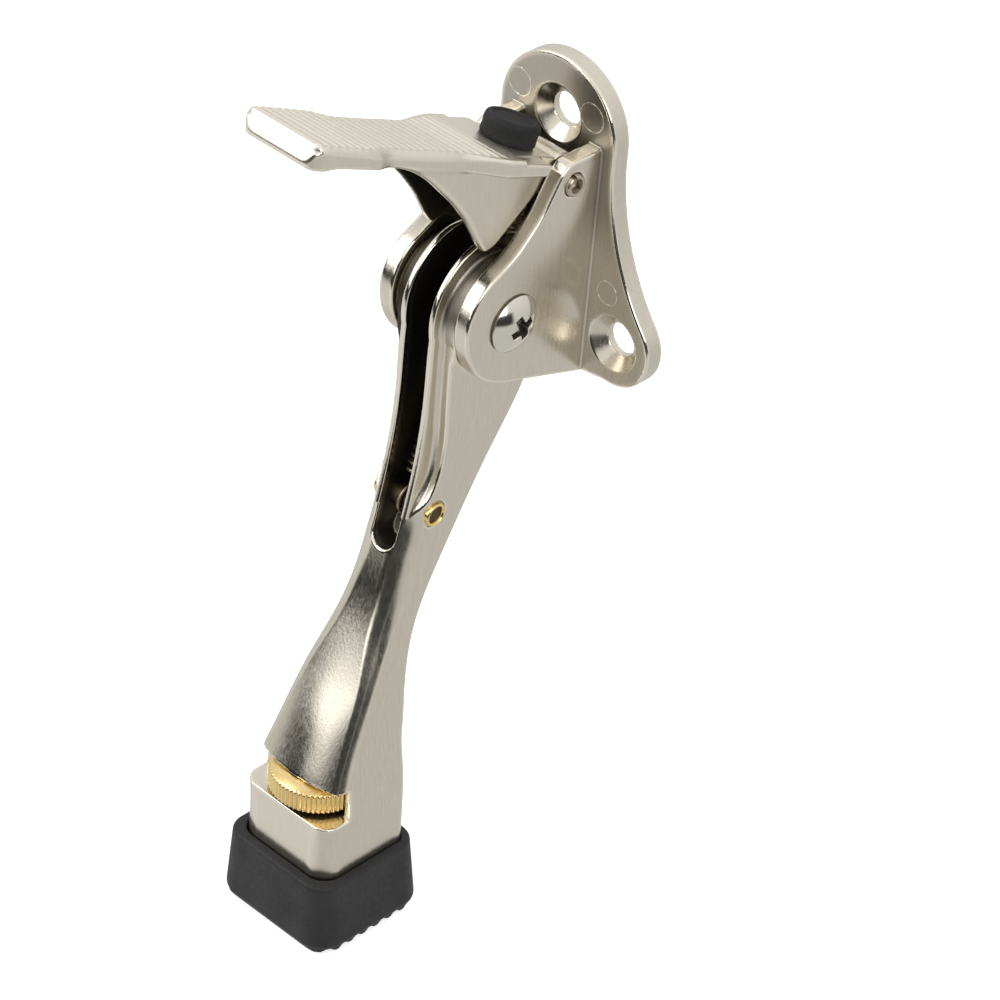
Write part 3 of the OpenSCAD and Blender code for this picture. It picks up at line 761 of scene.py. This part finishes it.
# side views of tread slab, cheeks and hollow, (y, z, corner radius)
slab_outline = Outline(fillet(
    [(-12.3, 31.6, 0.6)] + [(y, z, 40) for y, z in zip(TOP_Y[1:-2][::-1], TOP_Z[1:-2][::-1])]
    + [(-58.0, 51.05, 1.9), (-59.95, 48.1, 1.0), (-59.1, 47.3, 0.8), (-55.0, 46.35, 10),
       (-46.8, 43.0, 40), (-41.7, 40.85, 40), (-28, 35.0, 40), (-21, 32.15, 30),
       (-13.8, 29.6, 0.6)]), soft=1.2)
cheek_outline = Outline(fillet([
    (-9.5, 30.0, 1.0), (-12.3, 31.4, 6), (-20.3, 34.4, 0), (-27, 37, 0), (-49.0, 46, 0),
    (-48.0, 44.0, 2.0), (-45.2, 43.0, 4), (-41.6, 41.2, 8), (-35.7, 36.5, 30),
    (-30.0, 30.2, 30), (-26.9, 26.0, 20), (-24.4, 21.4, 12), (-23.0, 19.4, 0.9),
    (-20.9, 19.9, 1.4), (-17.0, 22.7, 12), (-12.0, 26.2, 6), (-8, 25, 3)]), soft=1.2)
hollow_outline = Outline(fillet([
    (-3, 20, 0), (-3, 29, 0), (-9, 29.3, 0), (-14, 30.4, 2), (-28, 35.4, 10), (-40.6, 40.6, 3),
    (-42.6, 40.9, 1.5), (-45.4, 42.8, 0), (-51, 38, 0), (-50, 10, 0), (-3, 10, 0)]), soft=1.2)
# right half of the tread from above, (x, y, corner radius)
PLAN_SIDE = [(7.35, -59.9, 3.1), (7.35, -46.7, 2.6), (6.15, -43.7, 2.6), (6.3, -30.5, 5),
             (8.5, -21.8, 3), (8.5, -5, 0)]
plan_outline = Outline(fillet(PLAN_SIDE + [(-x, y, r) for x, y, r in PLAN_SIDE[::-1]]), soft=1.2)
# half widths of tread and cheeks: y stations, then x
tread_half = hermite([-62, -50, -47.5, -44.5, -42, -38, -30, -27, -23, -20, 0],
                     [7.35, 7.35, 7.3, 6.3, 6.15, 6.15, 6.35, 7.0, 8.0, 8.45, 8.5])
cheek_half = hermite([-62, -50, -47.5, -44.5, -42, -38, -30, -24, 0],
                     [7.2, 7.1, 6.9, 6.3, 6.15, 6.15, 6.1, 6.0, 6.0])


def pedal_field(x, y, z):
    side = np.abs(x)
    from_top = z - top_z(y)
    from_hinge = np.hypot(y - HINGE_Y, z - HINGE_Z)
    top = ease(from_top, -1.0, -0.45)
    # ribs across the tread, fading towards its ends and sides
    wave = 0.5 + 0.5 * np.cos(2 * math.pi * (y + 57.4) / RIB_PITCH)
    lengthwise = ease(y, -58.2, -57.2) * (1 - ease(y, -24.0, -19.6))
    sideways = 1 - ease(side, tread_half(y) - 1.3, tread_half(y) - 0.6)
    ribs = 0.30 * (wave ** 1.5 - 0.35) * lengthwise * top * sideways
    # the rear is a step lower, where the bumper stands
    step = 0.45 * top * ease(y, -18.6, -18.0)
    edge = (0.5 + 0.75 * ease(from_top, -1.5, -0.9) * (1 - ease(y, -30, -24))
            - 0.15 * ease(-y, 55, 57.5))
    f = both(slab_outline(y, z) - ribs + step, plan_outline(side, y), edge)
    # cheeks below the tread, with a round eye at the hinge
    cheeks = both(np.minimum(cheek_outline(y, z), from_hinge - 3.6), side - cheek_half(y),
                  0.35 + 0.5 * ease(-y, 22, 26))
    f = either(f, cheeks, 0.3 + 0.6 * ease(-y, 26, 34))
    f = cut(f, np.maximum(side - (cheek_half(y) - 1.35), hollow_outline(y, z)), 0.25)
    return cut(f, from_hinge - 1.81, 0.15)


def pedal_shade(points):
    """Painted shade in the hollow underside."""
    x, y, z = points.T
    return (0.93 * (np.abs(x) < cheek_half(y) - 1.2)
            * (1 - ease(hollow_outline(y, z), -0.1, 0.4)))


dress(surface("pedal_casting", pedal_field, (-9.5, -61, 18.2), (9.5, -4, 52.4), PEDAL_CELL,
              shade=pedal_shade), "pedal", BLASTED, "satin_nickel", "release_pedal")


def bumper():
    """Round rubber pad, square to the rear of the pedal."""
    profile = rounded([(0, 0.03), (3.95, 0.03), (4.22, 0.5), (4.15, 1.6), (4.25, 2.9),
                       (3.95, 3.55), (3.35, 3.6), (3.0, 3.3), (0, 3.22)], 0.28)
    tilt = Matrix.Rotation(math.radians(-21.4), 4, "X")
    return lathe("bumper_pad", profile, tilt, (0, -13.9, 31.87), steps=96)


dress(bumper(), "pedal", BUMPER_RUBBER, "black_rubber", "pedal_bumper")


# ------------------------------------------------------------------ hinge pin
def rolled_pin():
    """Hinge pin rolled from strip: a tube with a slit and rounded ends."""
    steps, slit_at, slit = 60, math.radians(200), math.radians(24)
    profile = rounded([(1.15, -9.55), (1.5, -9.62), (1.76, -9.35), (1.76, 9.35), (1.5, 9.62),
                       (1.15, 9.55)], 0.12, 3)
    profile += [(1.15, 8.4), (0.55, 8.2), (0.55, -8.2), (1.15, -8.4)]
    rings = []
    for k in range(steps + 1):
        angle = slit_at + slit / 2 + (2 * math.pi - slit) * k / steps
        rings.append([polar(r, angle, z) for r, z in profile])
    return skin("hinge_pin", rings, capped=True, turn=ALONG_X, at=(0, HINGE_Y, HINGE_Z))


dress(rolled_pin(), "bracket", ROLLED, "satin_nickel", "pedal_hinge_pin")

# ------------------------------------------------------------------ pivot screws
DOME_TOP = 2.15                                     # height of the head above the ear
DOME_R = (4.8 ** 2 + 2.0 ** 2) / (2 * 2.0)          # sphere through a 4.8 rim, 2.0 high
CROSS_TURN = math.radians(24)
SCREW_BOX = 5.3


def screw_parts(hand):
    """Field and shade of a pivot screw; hand is -1 at the -X ear and 1 at the +X ear."""

    def field(x, y, z):
        height = hand * x - EAR_OUTER
        u, v = y - PIVOT_Y, z - PIVOT_Z
        a = u * math.cos(CROSS_TURN) + v * math.sin(CROSS_TURN)
        b = -u * math.sin(CROSS_TURN) + v * math.cos(CROSS_TURN)
        r = np.hypot(u, v)
        dome = np.sqrt(r * r + (height - DOME_TOP + DOME_R) ** 2) - DOME_R
        f = both(dome, np.maximum(-height + 0.24, r - 4.78), 0.16)
        # narrower neck under the head, then the shank
        f = np.minimum(f, np.maximum(r - 4.35, np.maximum(height - 0.5, -height - 0.05)))
        f = np.minimum(f, np.maximum(r - 2.4, np.maximum(height - 0.2, -height - 6.2)))
        # cross recess, wider at its mouth
        flare = 0.16 * (height - 0.2)
        arm_a = np.maximum(np.abs(a) - 1.75 - 1.2 * flare, np.abs(b) - 0.42 - flare)
        arm_b = np.maximum(np.abs(b) - 1.75 - 1.2 * flare, np.abs(a) - 0.42 - flare)
        return cut(f, np.maximum(either(arm_a, arm_b, 0.25), 0.35 - height), 0.1)

    def shade(points):
        """Painted shade in the cross recess, and a painted shadow on the neck under the head."""
        x, y, z = points.T
        height, r = hand * x - EAR_OUTER, np.hypot(y - PIVOT_Y, z - PIVOT_Z)
        top = DOME_TOP - DOME_R + np.sqrt(np.maximum(DOME_R * DOME_R - r * r, 0))
        # painted shade in the recess and a painted shadow on the neck
        recess = 0.66 * (r < 2.6) * ease(top - height, 0.12, 0.4)
        return np.maximum(recess, 0.8 * (r > 4.2) * (height < 0.22))

    return field, shade


for hand, tag in ((-1, "left"), (1, "right")):
    low_x, high_x = sorted((hand * 2.3, hand * 11.6))
    screw_field, screw_shade = screw_parts(hand)
    screw = surface("screw_" + tag, screw_field,
                    (low_x, PIVOT_Y - SCREW_BOX, PIVOT_Z - SCREW_BOX),
                    (high_x, PIVOT_Y + SCREW_BOX, PIVOT_Z + SCREW_BOX),
                    SCREW_CELL, normal_reach=0.04, shade=screw_shade)
    dress(screw, "bracket", POLISHED, "polished_nickel", "pivot_screw_" + tag)

# ------------------------------------------------------------------ spring anchor rivet
# (radius, x)
RIVET = rounded([(1.3, 2.3), (1.3, 5.3), (1.42, 5.62), (1.62, 5.8), (1.9, 5.6), (1.9, 2.3)],
                0.14, 4)
# the core is painted shade: dark metal where the slot and the rivet's bore lie in shade
CORE = [(0, -5.3), (1.27, -5.3), (1.29, -5.1), (1.29, -2.32), (1.89, -2.3),
        (1.89, 2.3), (1.29, 2.32), (1.29, 5.1), (1.27, 5.3), (0, 5.3)]
for name, profile, material, slot, replaced in (
        ("anchor_rivet_a", RIVET, BRASS, "brass", "spring_anchor_rivet"),
        ("anchor_rivet_b", [(r, -x) for r, x in RIVET], BRASS, "brass", None),
        ("anchor_core", CORE, PAINTED_SHADE_CORE_METAL, "steel", None)):
    piece = lathe(name, profile, ALONG_X, (0, ANCHOR_Y, ANCHOR_Z), steps=72)
    dress(piece, "arm", material, slot, replaced)


# ------------------------------------------------------------------ spring
WIRE_R = 0.31
COIL_R = 1.72
TURNS = 41
COIL_STEPS = 22                        # per turn
LEAD = 1.5                             # from each eye to the coil
ANCHOR_EYE_R = 1.9 + 0.33 + 0.03       # eye round the rivet
HINGE_EYE_R = 1.75 + 0.33 + 0.03       # eye round the hinge pin

anchor = np.array([0, ANCHOR_Y, ANCHOR_Z])
hinge = np.array([0, HINGE_Y, HINGE_Z])
span = float(np.linalg.norm(hinge - anchor))
spring_z = (hinge - anchor) / span
spring_x = np.array([1.0, 0, 0])
spring_y = np.cross(spring_z, spring_x)


def wire(name, path, radius, sides):
    """A round wire swept along points, with closed ends."""
    path = np.array(path, float)
    tangents = np.gradient(path, axis=0)
    tangents /= np.linalg.norm(tangents, axis=1)[:, None]
    normal = np.cross(tangents[0], [1.0, 0.3, 0.2])
    normal /= np.linalg.norm(normal)
    angles = [2 * math.pi * k / sides for k in range(sides)]
    rings = []
    for point, tangent in zip(path, tangents):
        normal = normal - tangent * float(normal @ tangent)
        normal /= np.linalg.norm(normal)
        across = np.cross(tangent, normal)
        rings.append([((point + radius * (math.cos(a) * normal + math.sin(a) * across))
                       * MM).tolist() for a in angles])
    return skin(name, rings, capped=True, sharp=60)


def spring_path():
    """From the anchor eye, through the coil, to the hinge eye."""

    def place(x, y, z):
        return anchor + spring_x * x + spring_y * y + spring_z * z

    start, end = ANCHOR_EYE_R + LEAD, span - HINGE_EYE_R - LEAD
    hook = [(0, 0), (0.2, 0.2), (0.35, 0.45)]      # sideways, distance from the eye
    path = [place(0, y, ANCHOR_EYE_R + gap) for y, gap in hook]
    count = TURNS * COIL_STEPS
    for i in range(count + 1):
        t = i / count
        grow = min(1.0, t * TURNS / 0.4, (1 - t) * TURNS / 0.4)
        a = 2 * math.pi * TURNS * t
        path.append(place(COIL_R * grow * math.cos(a), COIL_R * grow * math.sin(a),
                          start + (end - start) * t))
    return path + [place(0, y, span - HINGE_EYE_R - gap) for y, gap in hook[::-1]]


coil = wire("pull_spring", spring_path(), WIRE_R, sides=8)
dress(coil, "spring", SPRING, "steel", "tension_spring")
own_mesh(coil)
# the eyes are plain rings
for tag, centre, radius, body in (
        ("a", (0, ANCHOR_Y, ANCHOR_Z), ANCHOR_EYE_R, "spring"),
        ("b", (0, HINGE_Y, HINGE_Z), HINGE_EYE_R, "bracket")):
    angles = [2 * math.pi * k / 12 for k in range(12)]
    profile = [(radius + WIRE_R * math.cos(a), WIRE_R * math.sin(a)) for a in angles]
    dress(lathe("spring_eye_" + tag, profile, ALONG_X, centre, steps=60), body, SPRING, "steel")


# ------------------------------------------------------------------ thumbwheel
def thumbwheel():
    flutes, per_flute, depth = 60, 10, 0.26
    steps = flutes * per_flute
    low, high = -70.35, -66.75
    # (radius, z, share of the flute depth)
    profile = [
        (2.06, low, 0), (2.5, low, 0), (6.3, low, 0), (7.12, low + 0.02, 0),
        (7.3, low + 0.14, 0.5), (7.5, low + 0.28, 1), (7.5, low + 0.8, 1),
        (7.5, high - 0.5, 1), (7.47, high - 0.32, 0.85), (7.38, high - 0.18, 0.45),
        (7.24, high - 0.07, 0.1), (7.05, high + 0.03, 0.0), (6.2, high + 0.42, 0),
        (5.35, high + 0.72, 0), (5.15, high + 0.76, 0), (4.95, high + 0.66, 0),
        (4.3, high + 0.25, 0), (3.4, high - 0.05, 0), (2.06, high - 0.1, 0)]
    waves = [0.5 + 0.5 * math.cos(2 * math.pi * k / per_flute) for k in range(steps)]
    rings = [[polar(r - depth * share * (1 - wave ** 0.6), 2 * math.pi * k / steps, z)
              for k, wave in enumerate(waves)] for r, z, share in profile]
    return skin("height_wheel", rings, joined=True, at=(0, WHEEL_Y, 0), sharp=45)


dress(thumbwheel(), "wheel", BRASS, "brass", "thumbwheel")

# ------------------------------------------------------------------ foot
BOOT_TOP, BOOT_BOTTOM = -80.85, -92.85
CUP_GAP = 0.12                       # between foot block and boot

# inside of the boot from above, (x, y, corner radius)
cup_x = FOOT_HALF_X + CUP_GAP
cup_outline = Outline(fillet([
    (cup_x, FOOT_FRONT - 0.08, 3.3), (cup_x, FOOT_BACK + CUP_GAP, 1.7),
    (-cup_x, FOOT_BACK + CUP_GAP, 1.7), (-cup_x, FOOT_FRONT - 0.08, 3.3)]), soft=0.8)


def boot_field(x, y, z):
    # the boot widens from its top down
    down = np.clip((-z - 80.9) / 12.0, 0, 1)
    centre_y = -42.55 + 0.5 * down
    half_x = 10.85 + 1.1 * down
    half_y = 10.5 + 0.9 * down
    corner = 3.7 + 0.9 * down
    over_x, over_y = np.abs(x) - (half_x - corner), np.abs(y - centre_y) - (half_y - corner)
    plan = (np.hypot(np.maximum(over_x, 0), np.maximum(over_y, 0))
            + np.minimum(np.maximum(over_x, over_y), 0) - corner)
    f = both(plan, -z + BOOT_BOTTOM, 1.0)
    f = both(f, z - BOOT_TOP, 0.6)
    # ribs run across the sole
    pitches = (y + 52.0) / 2.75
    rib = 0.75 * (0.5 + 0.5 * np.cos(2 * math.pi * pitches)) ** 0.8
    sole = np.maximum(plan + 0.5, np.maximum(-z + BOOT_BOTTOM - rib, z + 91.2)) * 0.75
    f = either(f, sole, 0.25)
    return cut(f, np.maximum(cup_outline(x, y), -90.2 - z), 0.22)


dress(surface("foot_boot", boot_field, (-13.0, -55.5, -95.6), (13.0, -28.5, -79.6), BOOT_CELL),
      "foot", RUBBER, "black_rubber", "rubber_foot")

for name in ("foot_stud", "foot_plate"):
    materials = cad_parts[name].data.materials
    materials.clear()
    materials.append(STEEL)


# ------------------------------------------------------------------ floor
def floor_paper():
    """White paper that glows a little."""
    material, tree, shader = new_material("floor_paper")
    blotches = noise(tree, object_coords(tree), scale=40, detail=2.0, rough=0.5)
    color = mix_color(tree, ramp(tree, blotches, (0.3, 0.7)),
                      tint((0.93, 0.93, 0.93)), tint((0.95, 0.95, 0.95)))
    feed(tree, shader.inputs["Base Color"], color)
    shader.inputs["Roughness"].default_value = 0.9
    shader.inputs["Emission Color"].default_value = (1, 1, 1, 1)
    shader.inputs["Emission Strength"].default_value = 0.62
    return material


def make_floor(half=3.0):
    """A square just under the sole; half is in metres."""
    z = (SOLE_Z - 0.05) * MM
    mesh = bpy.data.meshes.new("floor")
    corners = [(-half, -half, z), (half, -half, z), (half, half, z), (-half, half, z)]
    mesh.from_pydata(corners, [], [(0, 1, 2, 3)])
    floor = link_object("floor", mesh)
    mesh.materials.append(floor_paper())
    floor.visible_glossy = False


make_floor()


# ------------------------------------------------------------------ camera
def make_camera(azimuth, elevation, roll, distance, target, lens):
    """Looks at target from distance (mm); azimuth turns from the front towards +X, in degrees."""
    azimuth, elevation, roll = (math.radians(a) for a in (azimuth, elevation, roll))
    back = Vector((math.sin(azimuth) * math.cos(elevation),
                   -math.cos(azimuth) * math.cos(elevation), math.sin(elevation)))
    level = Vector((math.cos(azimuth), math.sin(azimuth), 0))
    upright = back.cross(level)
    right = level * math.cos(roll) - upright * math.sin(roll)
    up = level * math.sin(roll) + upright * math.cos(roll)
    target = Vector(target)
    camera = link_object("camera", bpy.data.cameras.new("camera"))
    camera.matrix_world = Matrix(
        [(right[i], up[i], back[i], (target[i] + back[i] * distance) * MM) for i in range(3)]
        + [(0, 0, 0, 1)])
    camera.data.sensor_width = 36
    camera.data.lens = lens
    camera.data.clip_start = 0.01
    camera.data.clip_end = 20
    bpy.context.scene.camera = camera


make_camera(azimuth=41.254, elevation=36.043, roll=-5.212, distance=606.1,
            target=(10.37, -20.0, -22.68), lens=148.37328)


# ------------------------------------------------------------------ lights
def area_light(name, place, power, aim=(0, -0.02, 0), size=0.5):
    """A square light; places and size in metres."""
    light = bpy.data.lights.new(name, "AREA")
    light.energy = power
    light.shape = "RECTANGLE"
    light.size = size
    light.size_y = size
    obj = link_object(name, light)
    obj.location = place
    obj.rotation_euler = (Vector(aim) - Vector(place)).to_track_quat("-Z", "Y").to_euler()


area_light("key_left", (-0.45, -0.55, 0.75), power=3.0)
area_light("fill_right", (0.8, -0.3, 0.5), power=2.0)

# ------------------------------------------------------------------ world
# soft-edged cards on the sky, angles in degrees:
# azimuth, elevation, half width, half height, brightness, softness, turn
CARDS = [
    (-41, -38, 42, 20, 0.86, 0.3, 0),      # pale floor in front
    (-28, 18.5, 38, 14, 2.25, 0.12, -11),  # long soft box in front
    (-20, -8, 31, 10.5, 0.02, 0.2, -11),   # dark strip under it
    (20, 0, 33, 24, 0.05, 0.25, 0),        # the dark side by the camera
    (76, 3, 24, 14, 0.05, 0.2, 0),         # and its end, past the camera
]


def card(tree, direction, sky, azimuth, elevation, half_w, half_h, brightness, soft, turn):
    """Lays one card over the sky colour."""
    a, e, t = math.radians(azimuth), math.radians(elevation), math.radians(turn)
    centre = Vector((math.sin(a) * math.cos(e), -math.cos(a) * math.cos(e), math.sin(e)))
    right = Vector((math.cos(a), math.sin(a), 0))
    up = centre.cross(right)
    right, up = (right * math.cos(t) + up * math.sin(t), up * math.cos(t) - right * math.sin(t))

    def dot(axis):
        return node(tree, "ShaderNodeVectorMath", {0: direction, 1: axis},
                    operation="DOT_PRODUCT").outputs["Value"]

    facing = dot(centre)
    depth = math_node(tree, "MAXIMUM", facing, 0.05)

    def within(axis, half):
        flat = math_node(tree, "DIVIDE", math_node(tree, "ABSOLUTE", dot(axis)), depth)
        share = math_node(tree, "DIVIDE", flat, math.tan(math.radians(half)))
        return ramp(tree, share, (1.0 - soft, 1.0 + soft), (1.0, 0.0))

    mask = math_node(tree, "MULTIPLY", within(right, half_w), within(up, half_h))
    mask = math_node(tree, "MULTIPLY", mask, ramp(tree, facing, (0.05, 0.15)))
    return mix_color(tree, mask, sky, (brightness, brightness, brightness, 1))


def make_world():
    """Cards for mirror rays, plain greys for diffuse and camera rays."""
    world = bpy.data.worlds.new("studio")
    bpy.context.scene.world = world
    world.use_nodes = True
    tree = world.node_tree
    tree.nodes.clear()
    output = node(tree, "ShaderNodeOutputWorld")
    direction = node(tree, "ShaderNodeTexCoord").outputs["Generated"]
    height = node(tree, "ShaderNodeSeparateXYZ", {0: direction}).outputs["Z"]
    plain = mix_color(tree, ramp(tree, height, (-0.35, 0.75)),
                      (0.70, 0.70, 0.69, 1), (1.0, 1.0, 1.0, 1))
    sky = plain
    for values in CARDS:
        sky = card(tree, direction, sky, *values)
    rays = node(tree, "ShaderNodeLightPath").outputs
    # after a few bounces the cards are left out
    sky = mix_color(tree, ramp(tree, rays["Ray Depth"], (2.4, 2.6)), sky, plain)

    def background(color):
        return node(tree, "ShaderNodeBackground", {0: color}).outputs[0]

    def choose(ray, otherwise, chosen):
        return node(tree, "ShaderNodeMixShader",
                    {0: rays[ray], 1: otherwise, 2: chosen}).outputs[0]

    lit = choose("Is Diffuse Ray", background(sky), background((0.55, 0.55, 0.55, 1)))
    seen = choose("Is Camera Ray", lit, background((0.97, 0.97, 0.97, 1)))
    tree.links.new(seen, output.inputs[0])


make_world()
bpy.context.scene.view_settings.view_transform = "Standard"
bpy.context.scene.view_settings.look = "None"

bpy.context.view_layer.update()
